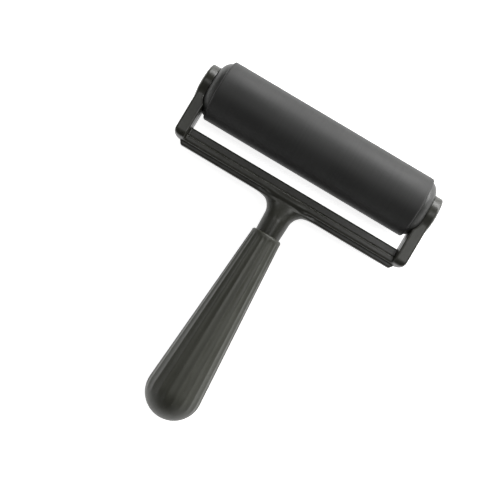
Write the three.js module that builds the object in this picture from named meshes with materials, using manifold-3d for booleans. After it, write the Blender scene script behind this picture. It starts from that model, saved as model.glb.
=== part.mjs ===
// Rubber brayer: a hand roller for inking. A rubber roller turns on a steel axle between the two arms
// of a moulded yoke, whose neck carries a fluted handle.
// Millimetres. X runs along the axle, +Y points from the handle to the roller, +Z is up.
// The origin is under the middle of the brayer, on the surface that the roller stands on.
import * as THREE from "three";
import { mergeVertices } from "three/addons/utils/BufferGeometryUtils.js";
import Module from "manifold-3d";

const wasm = await Module();
wasm.setup();

// Driving dimensions.
const OVERALL_LENGTH = 149;
const ROLLER_RADIUS = 14.25;
const ROLLER_FACE = 100;

// The axle's place. Every "behind" below is a distance from the axle towards the handle.
const AXLE_Y = OVERALL_LENGTH / 2 - ROLLER_RADIUS;
const AXLE_Z = ROLLER_RADIUS;

// Roller: rubber on a core tube, closed by a hub at each end. "At" is a distance along the axle
// from the middle of the roller.
const SHOULDER_RADIUS = 0.9;
const SLEEVE_BORE_RADIUS = 9.2;
const TUBE_RADIUS = 9;
const TUBE_BORE_RADIUS = 7;
const FACE_AT = ROLLER_FACE / 2;
const HUB_INNER_AT = FACE_AT + 0.2;
const HUB_OUTER_AT = 53.6;
const HUB_RADIUS = 12.9;
const HUB_NOSE_RADIUS = 9;
// 1 makes the dome a quarter ellipse, and more makes it flatter.
const HUB_DOME_POWER = 1.29;
const SPIGOT_RADIUS = 6.8;
const SPIGOT_END_AT = 39;
const SPIGOT_CHAMFER = 0.6;
const BUSH_END_AT = 41.5;
const BUSH_RADIUS = 4;
const BUSH_BORE_RADIUS = 2.58;
const BUSH_FLANGE_RADIUS = 5.6;
const BUSH_FLANGE_THICKNESS = 1;
const BUSH_GAP = 0.2;

// Axle and what holds it.
const AXLE_RADIUS = 2.5;
const AXLE_END_AT = 56.25;
const TAPPED_HOLE_RADIUS = 1.6;
const TAPPED_HOLE_DEPTH = 10;
const THRUST_WASHER_RADIUS = 6.6;
const THRUST_WASHER_AT = [53.75, 54.65];
const WASHER_BORE_RADIUS = 2.62;
const SCREW_WASHER_RADIUS = 3.6;
const SCREW_WASHER_AT = [56.45, 56.85];
const SCREW_HEAD_AT = [56.95, 58.45];
const SCREW_HEAD_RADIUS = 3.3;
const SCREW_CROWN_RADIUS = 1.6;
const SCREW_EDGE_HEIGHT = 0.4;
const SCREW_SHANK_RADIUS = 1.5;
const SCREW_SHANK_LENGTH = 9;
const SCREW_CHAMFER = 0.4;
const SCREW_SOCKET_RADIUS = 1.15;
const SCREW_SOCKET_DEPTH = 0.9;

// Yoke: two tall flat arms, joined by a bar whose thin web carries a rib.
const ARM_INNER_AT = 51.9;
const ARM_OUTER_AT = 57.4;
const ARM_HEIGHT = 15.6;
const ARM_BACK_ROUNDING = 3.5;
const BAR_FRONT_BEHIND = 20.1;
const BAR_BACK_BEHIND = 29;
const RIB_FRONT_BEHIND = 23.6;
const RIB_BACK_BEHIND = 26.8;
const WEB_THICKNESS = 4.6;
const RIB_HEIGHT = 9;
const WEB_ROUNDING = 1;
const RIB_ROUNDING = 0.7;
const CORNER = 3.1;
const LEDGE_END_AT = 52.3;
const LEDGE_SLANT = 1.6;
const SLOT_CORNER = 0.8;
const BOSS_RADIUS = 8.6;
const BOSS_INNER_AT = 54.8;
const BOSS_LIP_AT = 53.85;
const WASHER_SEAT_RADIUS = 7.1;
const BOSS_OUTER_AT = 58.3;
const BOSS_FLAT_RADIUS = 4.9;
const BOSS_CROWN_DEPTH = 1.2;
const HUB_CLEARANCE = 0.3;
const HUB_SPACE_DEPTH = 2;
const COUNTERBORE_RADIUS = 3.9;
const COUNTERBORE_FLOOR_AT = 56.35;

// Neck and tang.
const NECK_RADIUS = 5.55;
const NECK_ROOT_RADIUS = 6;
const NECK_FILLET = 6.7;
const NECK_ROOT_HALF_HEIGHT = 4.2;
const NECK_FULL_BEHIND = 37;
const NECK_END_BEHIND = 47;
const TANG_END_BEHIND = 86;
const TANG_HALF_WIDTH = 4.1;
const TANG_HALF_THICKNESS = 1.6;

// Handle.
const HANDLE_START_BEHIND = 43.3;
const BUTT_RADIUS = 12.7;
const HANDLE_END_BEHIND = OVERALL_LENGTH - ROLLER_RADIUS;
const COLLAR_RADIUS = 7;
const COLLAR_ROUNDING = 1.1;
const FLUTES = 20;
const FLUTE_DEPTH = 0.28;
const FLUTE_START_BEHIND = 45;
const FLUTE_FULL_BEHIND = 47.5;
const FLUTE_FADE_BEHIND = 124.5;
const FLUTE_END_BEHIND = 127.6;
// How far before the butt's centre the taper ends, so that their slopes match.
const TAPER_LEAD = 0.9;
const SOCKET_GAP = 0.3;
const SOCKET_FLOOR_BEHIND = TANG_END_BEHIND + 2;

// How far a cutting tool runs past the face that it cuts.
const PAST = 1;

// Facets round each turned shape.
const ROLLER_FACETS = 64;
const FINE_FACETS = 40;
const SMALL_FACETS = 24;
const HANDLE_FACETS = FLUTES * 4;

const MATERIALS = {
  rubber: { color: 0x2c2c2a, roughness: 0.6, metalness: 0 },
  black_plastic: { color: 0x262624, roughness: 0.5, metalness: 0 },
  grip_plastic: { color: 0x2a2b27, roughness: 0.55, metalness: 0 },
  aluminium: { color: 0xa8aaad, roughness: 0.4, metalness: 1 },
  bronze: { color: 0xb08a4a, roughness: 0.35, metalness: 1 },
  steel: { color: 0x9a9c9f, roughness: 0.3, metalness: 1 },
  black_steel: { color: 0x2b2b2d, roughness: 0.45, metalness: 0.8 },
};

/** A closed three.js geometry as a solid that can be joined and cut. */
function toSolid(geometry) {
  const bare = geometry.clone();
  bare.deleteAttribute("normal");
  bare.deleteAttribute("uv");
  const merged = mergeVertices(bare, 1e-4);
  const mesh = new wasm.Mesh({
    numProp: 3,
    vertProperties: merged.attributes.position.array,
    triVerts: new Uint32Array(merged.index.array),
  });
  return new wasm.Manifold(mesh);
}

/** A solid as a geometry for a three.js mesh. */
function toGeometry(solid) {
  const mesh = solid.getMesh();
  const geometry = new THREE.BufferGeometry();
  geometry.setAttribute("position", new THREE.BufferAttribute(mesh.vertProperties, 3));
  geometry.setIndex(new THREE.BufferAttribute(mesh.triVerts, 1));
  geometry.computeVertexNormals();
  return geometry;
}

function join(first, ...others) {
  return others.reduce((whole, next) => whole.add(next), first);
}

function cut(first, ...tools) {
  return tools.reduce((whole, tool) => whole.subtract(tool), first);
}

/** A shape turned about Y from [along, radius] pairs, whose outside is listed towards +Y. */
function turnedAboutY(outline, facets) {
  const points = outline.map(([along, radius]) => new THREE.Vector2(radius, along));
  return new THREE.LatheGeometry(points, facets);
}

/** The same about X, its outside listed towards +X. */
function turned(outline, facets) {
  return turnedAboutY(outline, facets).rotateZ(-Math.PI / 2);
}

/** A plain ring about X between two places along the axle. */
function ring([start, end], boreRadius, radius, facets) {
  const outline = [
    [start, boreRadius],
    [start, radius],
    [end, radius],
    [end, boreRadius],
    [start, boreRadius],
  ];
  return turned(outline, facets);
}

/** A plain rod about X between two places along the axle. */
function rod([start, end], radius, facets) {
  return turned([[start, 0], [start, radius], [end, radius], [end, 0]], facets);
}

/** Points on a circle from one angle to another, as [along, radius] pairs. */
function arc(centre, radius, from, to, steps) {
  const points = [];
  for (let i = 0; i <= steps; i += 1) {
    const angle = from + ((to - from) * i) / steps;
    points.push([centre[0] + radius * Math.cos(angle), centre[1] + radius * Math.sin(angle)]);
  }
  return points;
}

/** A dome's outline from its rim to its nose: a quarter ellipse, or flatter if the power is over 1. */
function roundOver([startAlong, startRadius], [endAlong, endRadius], steps, power = 1) {
  const points = [];
  for (let i = 0; i <= steps; i += 1) {
    const angle = ((Math.PI / 2) * i) / steps;
    const along = startAlong + (endAlong - startAlong) * Math.sin(angle) ** power;
    const drop = Math.max(0, Math.cos(angle)) ** power;
    points.push([along, endRadius + (startRadius - endRadius) * drop]);
  }
  return points;
}

/** A flat shape in the XY plane made into a plate of full height, centred on z = 0, its edges rounded. */
function plate(shape, height, rounding) {
  const options = {
    depth: height - 2 * rounding,
    bevelThickness: rounding,
    bevelSize: rounding,
    bevelOffset: -rounding,
    bevelSegments: 2,
    curveSegments: 5,
  };
  return new THREE.ExtrudeGeometry(shape, options).translate(0, 0, -height / 2 + rounding);
}

/** The rubber sleeve, its shoulders rounded. */
function sleeveGeometry() {
  const centre = FACE_AT - SHOULDER_RADIUS;
  const rim = ROLLER_RADIUS - SHOULDER_RADIUS;
  const outline = [
    [-FACE_AT, SLEEVE_BORE_RADIUS],
    ...arc([-centre, rim], SHOULDER_RADIUS, Math.PI, Math.PI / 2, 3),
    ...arc([centre, rim], SHOULDER_RADIUS, Math.PI / 2, 0, 3),
    [FACE_AT, SLEEVE_BORE_RADIUS],
    [-FACE_AT, SLEEVE_BORE_RADIUS],
  ];
  return turned(outline, ROLLER_FACETS);
}

/** The outline of the right-hand hub's domed flange, grown outwards by a clearance. */
function hubDome(clearance) {
  const rim = [HUB_INNER_AT + clearance, HUB_RADIUS + clearance];
  const nose = [HUB_OUTER_AT + clearance, HUB_NOSE_RADIUS + clearance];
  return roundOver(rim, nose, 4, HUB_DOME_POWER);
}

/** The right-hand hub: a spigot in the tube and a domed flange, bored for its bush. */
function hubGeometry() {
  const bore = BUSH_RADIUS + BUSH_GAP;
  const pocket = BUSH_FLANGE_RADIUS + BUSH_GAP;
  const pocketFloor = HUB_OUTER_AT - BUSH_FLANGE_THICKNESS - BUSH_GAP;
  const outline = [
    [SPIGOT_END_AT, bore],
    [SPIGOT_END_AT, SPIGOT_RADIUS - SPIGOT_CHAMFER],
    [SPIGOT_END_AT + SPIGOT_CHAMFER, SPIGOT_RADIUS],
    [HUB_INNER_AT, SPIGOT_RADIUS],
    ...hubDome(0),
    [HUB_OUTER_AT, pocket],
    [pocketFloor, pocket],
    [pocketFloor, bore],
    [SPIGOT_END_AT, bore],
  ];
  return turned(outline, FINE_FACETS);
}

/** The right-hand bush: a plain bearing with a flange that takes the side thrust. */
function bushGeometry() {
  const flangeInner = HUB_OUTER_AT - BUSH_FLANGE_THICKNESS;
  const outline = [
    [BUSH_END_AT, BUSH_BORE_RADIUS],
    [BUSH_END_AT, BUSH_RADIUS],
    [flangeInner, BUSH_RADIUS],
    [flangeInner, BUSH_FLANGE_RADIUS],
    [HUB_OUTER_AT, BUSH_FLANGE_RADIUS],
    [HUB_OUTER_AT, BUSH_BORE_RADIUS],
    [BUSH_END_AT, BUSH_BORE_RADIUS],
  ];
  return turned(outline, FINE_FACETS);
}

/** The axle: a steel rod tapped at both ends. */
function axleGeometry() {
  const holeStart = AXLE_END_AT - TAPPED_HOLE_DEPTH;
  const outline = [
    [-holeStart, 0],
    [-holeStart, TAPPED_HOLE_RADIUS],
    [-AXLE_END_AT, TAPPED_HOLE_RADIUS],
    [-AXLE_END_AT, AXLE_RADIUS],
    [AXLE_END_AT, AXLE_RADIUS],
    [AXLE_END_AT, TAPPED_HOLE_RADIUS],
    [holeStart, TAPPED_HOLE_RADIUS],
    [holeStart, 0],
  ];
  return turned(outline, FINE_FACETS);
}

/** The right-hand screw: a low domed head with a hexagon socket, and its shank in the axle. */
function screwGeometry() {
  const [headInner, headOuter] = SCREW_HEAD_AT;
  const shankEnd = headInner - SCREW_SHANK_LENGTH;
  const outline = [
    [shankEnd, 0],
    [shankEnd, SCREW_SHANK_RADIUS - SCREW_CHAMFER],
    [shankEnd + SCREW_CHAMFER, SCREW_SHANK_RADIUS],
    [headInner, SCREW_SHANK_RADIUS],
    [headInner, SCREW_HEAD_RADIUS],
    ...roundOver([headInner + SCREW_EDGE_HEIGHT, SCREW_HEAD_RADIUS], [headOuter, SCREW_CROWN_RADIUS], 3),
    [headOuter, 0],
  ];
  const body = toSolid(turned(outline, SMALL_FACETS));
  const socketFloor = headOuter - SCREW_SOCKET_DEPTH;
  const socket = toSolid(rod([socketFloor, headOuter + PAST], SCREW_SOCKET_RADIUS, 6));
  return toGeometry(cut(body, socket));
}

/** Draws the back edge of a frame shape from the right arm to the left, with the bar's ledge or without. */
function backEdge(shape, hasLedge) {
  const cornerAt = ARM_OUTER_AT - CORNER;
  const cornerBehind = RIB_BACK_BEHIND - CORNER;
  const ledge = [[LEDGE_END_AT + LEDGE_SLANT, RIB_BACK_BEHIND], [LEDGE_END_AT, BAR_BACK_BEHIND]];
  shape.lineTo(ARM_OUTER_AT, -cornerBehind);
  shape.quadraticCurveTo(ARM_OUTER_AT, -RIB_BACK_BEHIND, cornerAt, -RIB_BACK_BEHIND);
  if (hasLedge) {
    ledge.forEach(([at, behind]) => shape.lineTo(at, -behind));
    ledge.toReversed().forEach(([at, behind]) => shape.lineTo(-at, -behind));
  }
  shape.lineTo(-cornerAt, -RIB_BACK_BEHIND);
  shape.quadraticCurveTo(-ARM_OUTER_AT, -RIB_BACK_BEHIND, -ARM_OUTER_AT, -cornerBehind);
  shape.lineTo(-ARM_OUTER_AT, 0);
}

/** A U shape: two arms that reach the axle line, joined by a bar. */
function yokeShape(front, hasLedge) {
  const inner = ARM_INNER_AT;
  const shape = new THREE.Shape();
  shape.moveTo(ARM_OUTER_AT, 0);
  backEdge(shape, hasLedge);
  shape.lineTo(-inner, 0);
  shape.lineTo(-inner, -(front - SLOT_CORNER));
  shape.quadraticCurveTo(-inner, -front, -(inner - SLOT_CORNER), -front);
  shape.lineTo(inner - SLOT_CORNER, -front);
  shape.quadraticCurveTo(inner, -front, inner, -(front - SLOT_CORNER));
  shape.lineTo(inner, 0);
  return shape;
}

/** The right-hand arm: a tall flat slab that ends on the axle line, rounded where its back meets the bar. */
function armSolid() {
  const corner = CORNER;
  const above = new THREE.Shape();
  above.moveTo(ARM_INNER_AT, 0);
  above.lineTo(ARM_INNER_AT, -RIB_BACK_BEHIND);
  above.lineTo(ARM_OUTER_AT - corner, -RIB_BACK_BEHIND);
  above.quadraticCurveTo(ARM_OUTER_AT, -RIB_BACK_BEHIND, ARM_OUTER_AT, -(RIB_BACK_BEHIND - corner));
  above.lineTo(ARM_OUTER_AT, 0);

  const half = ARM_HEIGHT / 2;
  const straight = RIB_BACK_BEHIND - ARM_BACK_ROUNDING;
  const side = new THREE.Shape();
  side.moveTo(-PAST, -half);
  side.lineTo(straight, -half);
  side.absarc(straight, -half + ARM_BACK_ROUNDING, ARM_BACK_ROUNDING, -Math.PI / 2, 0);
  side.absarc(straight, half - ARM_BACK_ROUNDING, ARM_BACK_ROUNDING, 0, Math.PI / 2);
  side.lineTo(-PAST, half);
  const slab = toSolid(plate(above, ARM_HEIGHT, RIB_ROUNDING));
  return slab.intersect(toSolid(sideways(side, 2 * BOSS_OUTER_AT)));
}

/** Extrudes a side view, drawn with "behind" along X and height along Y, to a width about the middle. */
function sideways(side, width) {
  const flat = new THREE.ExtrudeGeometry(side, { depth: width, bevelEnabled: false, curveSegments: 10 });
  return flat.rotateX(Math.PI / 2).rotateZ(-Math.PI / 2).translate(width / 2, 0, 0);
}

/** The right-hand boss: a short disc with a crowned outer face, and a lip round the thrust washer. */
function bossSolid() {
  const outline = [
    [BOSS_INNER_AT, 0],
    [BOSS_INNER_AT, WASHER_SEAT_RADIUS],
    [BOSS_LIP_AT, WASHER_SEAT_RADIUS],
    [BOSS_LIP_AT, BOSS_RADIUS],
    ...roundOver([BOSS_OUTER_AT - BOSS_CROWN_DEPTH, BOSS_RADIUS], [BOSS_OUTER_AT, BOSS_FLAT_RADIUS], 4),
    [BOSS_OUTER_AT, 0],
  ];
  return toSolid(turned(outline, FINE_FACETS));
}

/** The space that the right-hand hub turns in, and the thrust washer's seat. */
function hubSpaceSolid() {
  const grown = hubDome(HUB_CLEARANCE);
  const [, innerRadius] = grown[0];
  const [, noseRadius] = grown[grown.length - 1];
  const start = HUB_INNER_AT - HUB_SPACE_DEPTH;
  const outline = [
    [start, 0],
    [start, innerRadius],
    ...grown,
    [BOSS_LIP_AT + HUB_CLEARANCE, noseRadius],
    [BOSS_LIP_AT + HUB_CLEARANCE, WASHER_SEAT_RADIUS],
    [BOSS_INNER_AT, WASHER_SEAT_RADIUS],
    [BOSS_INNER_AT, 0],
  ];
  return toSolid(turned(outline, ROLLER_FACETS));
}

/** The neck: round, flared where it leaves the bar, and flattened there to stay below the rib. */
function neckSolid() {
  const rootRadius = NECK_ROOT_RADIUS + NECK_FILLET;
  const filletCentre = [-(BAR_BACK_BEHIND + NECK_FILLET), rootRadius];
  const flare = arc(filletCentre, NECK_FILLET, -Math.PI / 2, 0, 6);
  const neckStart = [[-NECK_END_BEHIND, NECK_RADIUS], [-HANDLE_START_BEHIND, NECK_RADIUS]];
  const outline = [[-NECK_END_BEHIND, 0], ...neckStart, ...flare];
  outline.push([-RIB_FRONT_BEHIND, rootRadius], [-RIB_FRONT_BEHIND, 0]);
  const round = toSolid(turnedAboutY(outline, FINE_FACETS));

  const side = new THREE.Shape();
  const easeStart = RIB_BACK_BEHIND;
  const half = NECK_ROOT_RADIUS + PAST;
  const bend = (easeStart + NECK_FULL_BEHIND) / 2;
  side.moveTo(RIB_FRONT_BEHIND, -NECK_ROOT_HALF_HEIGHT);
  side.lineTo(easeStart, -NECK_ROOT_HALF_HEIGHT);
  side.bezierCurveTo(bend, -NECK_ROOT_HALF_HEIGHT, bend, -half, NECK_FULL_BEHIND, -half);
  side.lineTo(NECK_END_BEHIND, -half);
  side.lineTo(NECK_END_BEHIND, half);
  side.lineTo(NECK_FULL_BEHIND, half);
  side.bezierCurveTo(bend, half, bend, NECK_ROOT_HALF_HEIGHT, easeStart, NECK_ROOT_HALF_HEIGHT);
  side.lineTo(RIB_FRONT_BEHIND, NECK_ROOT_HALF_HEIGHT);
  const width = 2 * (rootRadius + PAST);
  return round.intersect(toSolid(sideways(side, width)));
}

/** The cross-shaped tang that the handle is pushed over. */
function tangSolid() {
  const start = NECK_END_BEHIND - PAST;
  const length = TANG_END_BEHIND - start;
  const upright = new THREE.BoxGeometry(2 * TANG_HALF_THICKNESS, length, 2 * TANG_HALF_WIDTH);
  const level = new THREE.BoxGeometry(2 * TANG_HALF_WIDTH, length, 2 * TANG_HALF_THICKNESS);
  const middle = -(start + length / 2);
  return join(toSolid(upright.translate(0, middle, 0)), toSolid(level.translate(0, middle, 0)));
}

/** The yoke: arms, web and rib, bosses, neck and tang in one moulding, bored for the axle. */
function yokeGeometry() {
  const web = toSolid(plate(yokeShape(BAR_FRONT_BEHIND, true), WEB_THICKNESS, WEB_ROUNDING));
  const rib = toSolid(plate(yokeShape(RIB_FRONT_BEHIND, false), RIB_HEIGHT, RIB_ROUNDING));
  const arm = armSolid();
  const hubSpace = hubSpaceSolid();
  const boss = bossSolid();
  const frame = cut(join(web, rib, arm, arm.mirror([1, 0, 0])), hubSpace, hubSpace.mirror([1, 0, 0]));
  const body = join(frame, boss, boss.mirror([1, 0, 0]), neckSolid(), tangSolid());

  const past = BOSS_OUTER_AT + PAST;
  const bore = toSolid(rod([-past, past], WASHER_BORE_RADIUS, FINE_FACETS));
  const seat = toSolid(rod([COUNTERBORE_FLOOR_AT, past], COUNTERBORE_RADIUS, FINE_FACETS));
  return toGeometry(cut(body, bore, seat, seat.mirror([1, 0, 0])));
}

/** 0 before the first place, 1 past the second, and a smooth step between. */
function smoothStep(first, second, place) {
  return THREE.MathUtils.smoothstep(place, first, second);
}

/** Presses the flutes into a turned handle: deepest in line with the top, fading out at both ends. */
function pressFlutes(geometry) {
  const position = geometry.attributes.position;
  for (let i = 0; i < position.count; i += 1) {
    const x = position.getX(i);
    const z = position.getZ(i);
    const behind = -position.getY(i);
    const radius = Math.hypot(x, z);
    const fadeIn = smoothStep(FLUTE_START_BEHIND, FLUTE_FULL_BEHIND, behind);
    const fadeOut = 1 - smoothStep(FLUTE_FADE_BEHIND, FLUTE_END_BEHIND, behind);
    const valley = Math.abs(Math.cos((Math.atan2(x, z) * FLUTES) / 2));
    const scale = radius > 0 ? 1 - (FLUTE_DEPTH * fadeIn * fadeOut * valley) / radius : 1;
    position.setX(i, x * scale);
    position.setZ(i, z * scale);
  }
  return geometry;
}

/** The handle: a taper from a rounded collar to a round butt, fluted, with a blind socket. */
function handleGeometry() {
  const buttCentre = HANDLE_END_BEHIND - BUTT_RADIUS;
  const taperEnd = buttCentre - TAPER_LEAD;
  const taperEndRadius = Math.sqrt(BUTT_RADIUS ** 2 - TAPER_LEAD ** 2);
  const taperStart = HANDLE_START_BEHIND + COLLAR_ROUNDING;
  const outline = [[-HANDLE_END_BEHIND, 0]];
  const capSteps = 6;
  for (let i = 1; i < capSteps; i += 1) {
    const angle = ((Math.PI / 2) * i) / capSteps;
    outline.push([-(buttCentre + BUTT_RADIUS * Math.cos(angle)), BUTT_RADIUS * Math.sin(angle)]);
  }
  outline.push([-taperEnd, taperEndRadius]);
  for (const behind of [FLUTE_FULL_BEHIND, FLUTE_START_BEHIND]) {
    const share = (behind - taperStart) / (taperEnd - taperStart);
    outline.push([-behind, COLLAR_RADIUS + share * (taperEndRadius - COLLAR_RADIUS)]);
  }
  const rim = [-taperStart, COLLAR_RADIUS - COLLAR_ROUNDING];
  outline.push(...arc(rim, COLLAR_ROUNDING, Math.PI / 2, 0, 3), [-HANDLE_START_BEHIND, 0]);
  const grip = toSolid(pressFlutes(turnedAboutY(outline, HANDLE_FACETS)));

  const mouthRadius = NECK_RADIUS + SOCKET_GAP;
  const mouthFloor = NECK_END_BEHIND + SOCKET_GAP;
  const socketRadius = Math.hypot(TANG_HALF_WIDTH, TANG_HALF_THICKNESS) + SOCKET_GAP;
  const socketOutline = [
    [-SOCKET_FLOOR_BEHIND, 0],
    [-SOCKET_FLOOR_BEHIND, socketRadius],
    [-mouthFloor, socketRadius],
    [-mouthFloor, mouthRadius],
    [-(HANDLE_START_BEHIND - PAST), mouthRadius],
    [-(HANDLE_START_BEHIND - PAST), 0],
  ];
  const socket = toSolid(turnedAboutY(socketOutline, FINE_FACETS));
  return toGeometry(cut(grip, socket));
}

function piece(name, geometry, material) {
  const mesh = new THREE.Mesh(geometry, new THREE.MeshStandardMaterial(MATERIALS[material]));
  mesh.name = name;
  return mesh;
}

/** Adds a piece at the right end of the axle and the same piece, turned end for end, at the left. */
function addAtBothEnds(parent, name, geometry, material) {
  const right = piece(`${name}_right`, geometry, material);
  const left = piece(`${name}_left`, geometry, material);
  left.rotation.z = Math.PI;
  parent.add(right, left);
}

function makeRoller() {
  const roller = new THREE.Group();
  const tube = ring([-FACE_AT, FACE_AT], TUBE_BORE_RADIUS, TUBE_RADIUS, FINE_FACETS);
  roller.add(piece("roller_sleeve", sleeveGeometry(), "rubber"));
  roller.add(piece("core_tube", tube, "aluminium"));
  addAtBothEnds(roller, "hub", hubGeometry(), "black_plastic");
  addAtBothEnds(roller, "bush", bushGeometry(), "bronze");
  return roller;
}

function makeAxleSet() {
  const set = new THREE.Group();
  const thrustWasher = ring(THRUST_WASHER_AT, WASHER_BORE_RADIUS, THRUST_WASHER_RADIUS, FINE_FACETS);
  const screwWasher = ring(SCREW_WASHER_AT, TAPPED_HOLE_RADIUS, SCREW_WASHER_RADIUS, SMALL_FACETS);
  set.add(piece("axle", axleGeometry(), "steel"));
  addAtBothEnds(set, "thrust_washer", thrustWasher, "black_plastic");
  addAtBothEnds(set, "screw_washer", screwWasher, "steel");
  addAtBothEnds(set, "axle_screw", screwGeometry(), "black_steel");
  return set;
}

function makeYokeAndHandle() {
  const pair = new THREE.Group();
  pair.add(piece("yoke", yokeGeometry(), "black_plastic"));
  pair.add(piece("handle_grip", handleGeometry(), "grip_plastic"));
  return pair;
}

const brayer = new THREE.Group();
const onAxle = new THREE.Group();
onAxle.position.set(0, AXLE_Y, AXLE_Z);
onAxle.add(makeRoller(), makeAxleSet(), makeYokeAndHandle());
brayer.add(onAxle);

export default brayer;
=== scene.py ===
"""Rubber brayer: the finished look of a hand roller for printing ink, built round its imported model.

The axle lies along X, the roller is towards +Y and the handle towards -Y, and +Z is up. Shapes are
worked out in millimetres from the middle of the axle, and put in place in metres.
"""

import itertools
import logging
import math
from collections.abc import Callable, Sequence
from dataclasses import dataclass, field
from enum import Enum

import bpy
import numpy as np
from mathutils import Euler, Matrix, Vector


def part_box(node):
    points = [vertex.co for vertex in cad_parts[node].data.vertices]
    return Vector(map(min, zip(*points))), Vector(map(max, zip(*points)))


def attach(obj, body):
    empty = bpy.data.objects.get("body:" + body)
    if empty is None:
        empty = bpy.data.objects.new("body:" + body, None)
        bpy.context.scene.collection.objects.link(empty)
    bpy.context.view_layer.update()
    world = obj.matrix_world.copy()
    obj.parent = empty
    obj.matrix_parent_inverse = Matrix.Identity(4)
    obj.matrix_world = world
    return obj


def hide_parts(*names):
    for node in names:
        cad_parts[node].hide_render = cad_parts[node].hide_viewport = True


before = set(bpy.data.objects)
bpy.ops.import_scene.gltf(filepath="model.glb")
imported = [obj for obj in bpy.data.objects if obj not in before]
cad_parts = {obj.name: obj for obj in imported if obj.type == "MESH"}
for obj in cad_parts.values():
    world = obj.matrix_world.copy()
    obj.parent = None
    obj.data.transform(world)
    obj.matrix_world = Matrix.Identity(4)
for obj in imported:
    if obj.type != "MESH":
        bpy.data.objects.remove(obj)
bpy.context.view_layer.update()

MM = 0.001
SMOOTH_ANGLE = math.radians(32)
POLE_SIZE = 1e-9
SLOPE_REACH = 0.02
LEAST_STEEPNESS = 0.05
SETTLING_ROUNDS = 3

logging.basicConfig(level=logging.INFO, format="%(name)s: %(message)s")
log = logging.getLogger("brayer")

Colour = tuple[float, float, float]
Field = Callable[[np.ndarray, np.ndarray, np.ndarray], np.ndarray]


class Body(Enum):
    """The two bodies that pieces ride on."""

    YOKE = "yoke"
    ROLLER = "roller"


class Side(Enum):
    """An end of the axle, as the sign of its X."""

    LEFT = -1
    RIGHT = 1


class Axis(Enum):
    """The axis that a shape is turned about."""

    X = "x"
    Y = "y"


class Grain(Enum):
    """How the fine marks of a finish run, as stretches along X, Y and Z."""

    GROUND_ROUND_AXLE = (1.0, 0.03, 0.03)
    SPARKED = (1.0, 1.0, 1.0)
    DRAWN_ALONG_HANDLE = (1.0, 0.06, 1.0)
    DRAWN_ALONG_AXLE = (0.03, 1.0, 1.0)


# ---------------------------------------------------------------------------------------------------
# Outlines and shells


@dataclass(frozen=True)
class Corner:
    """A corner of an outline, with the radius that rounds it.

    For a turned shape, u is the distance along the axis and v the distance out from it. For a flat
    shape, u is X and v is Y.
    """

    u: float
    v: float
    rounding: float = 0.0


@dataclass
class Shell:
    """A closed surface in millimetres: its points and its faces."""

    points: np.ndarray
    faces: list[tuple[int, ...]]

    def volume(self) -> float:
        """Returns the signed volume, which is negative where the faces point inwards."""
        total = 0.0
        by_length: dict[int, list[tuple[int, ...]]] = {}
        for face in self.faces:
            by_length.setdefault(len(face), []).append(face)
        for length, faces in by_length.items():
            corners = self.points[np.array(faces)]
            for i in range(1, length - 1):
                normals = np.cross(corners[:, i], corners[:, i + 1])
                total += float(np.einsum("ij,ij->", corners[:, 0], normals)) / 6
        return total

    def outward(self) -> "Shell":
        """Returns the same shell with its faces pointing outwards."""
        if self.volume() >= 0:
            return self
        return Shell(self.points, [face[::-1] for face in self.faces])

    def at(self, side: Side) -> "Shell":
        """Returns a shell made for the right end, turned end for end if it goes at the left.

        Args:
            side: The end of the axle that it goes at.
        """
        turn = np.array([side.value, side.value, 1.0])
        return Shell(self.points * turn, self.faces)


def rounded(corners: Sequence[Corner], steps: int = 8) -> np.ndarray:
    """Draws an outline through corners, with an arc at each one that has a rounding.

    Args:
        corners: The corners in order. The last is joined to the first.
        steps: The number of steps in each arc.

    Returns:
        The outline's points, one to a row.
    """
    points: list[np.ndarray] = []
    for i, corner in enumerate(corners):
        here = np.array([corner.u, corner.v])
        if corner.rounding <= 0:
            points.append(here)
            continue
        before, after = corners[i - 1], corners[(i + 1) % len(corners)]
        back = np.array([before.u, before.v]) - here
        ahead = np.array([after.u, after.v]) - here
        back, ahead = back / np.linalg.norm(back), ahead / np.linalg.norm(ahead)
        half = math.acos(float(np.clip(back @ ahead, -1, 1))) / 2
        reach = corner.rounding / math.tan(half)
        halfway = (back + ahead) / np.linalg.norm(back + ahead)
        middle = here + halfway * corner.rounding / math.sin(half)
        first, last = here + back * reach - middle, here + ahead * reach - middle
        sweep = math.pi - 2 * half
        for step in range(steps + 1):
            turn = sweep * step / steps
            spoke = first * math.sin(sweep - turn) + last * math.sin(turn)
            points.append(middle + spoke / math.sin(sweep))
    return np.array(points)


def dome(
    start: tuple[float, float], end: tuple[float, float], steps: int, power: float = 1.0
) -> list[Corner]:
    """Draws a dome's outline from its rim to its nose.

    Args:
        start: Distance along the axis and out from it, at the rim.
        end: The same at the nose.
        steps: The number of steps.
        power: 1 for a quarter ellipse, and more for a flatter dome.

    Returns:
        The outline's corners.
    """
    corners = []
    for step in range(steps + 1):
        angle = math.pi / 2 * step / steps
        along = start[0] + (end[0] - start[0]) * math.sin(angle) ** power
        out = end[1] + (start[1] - end[1]) * max(0.0, math.cos(angle)) ** power
        corners.append(Corner(along, out))
    return corners


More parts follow.
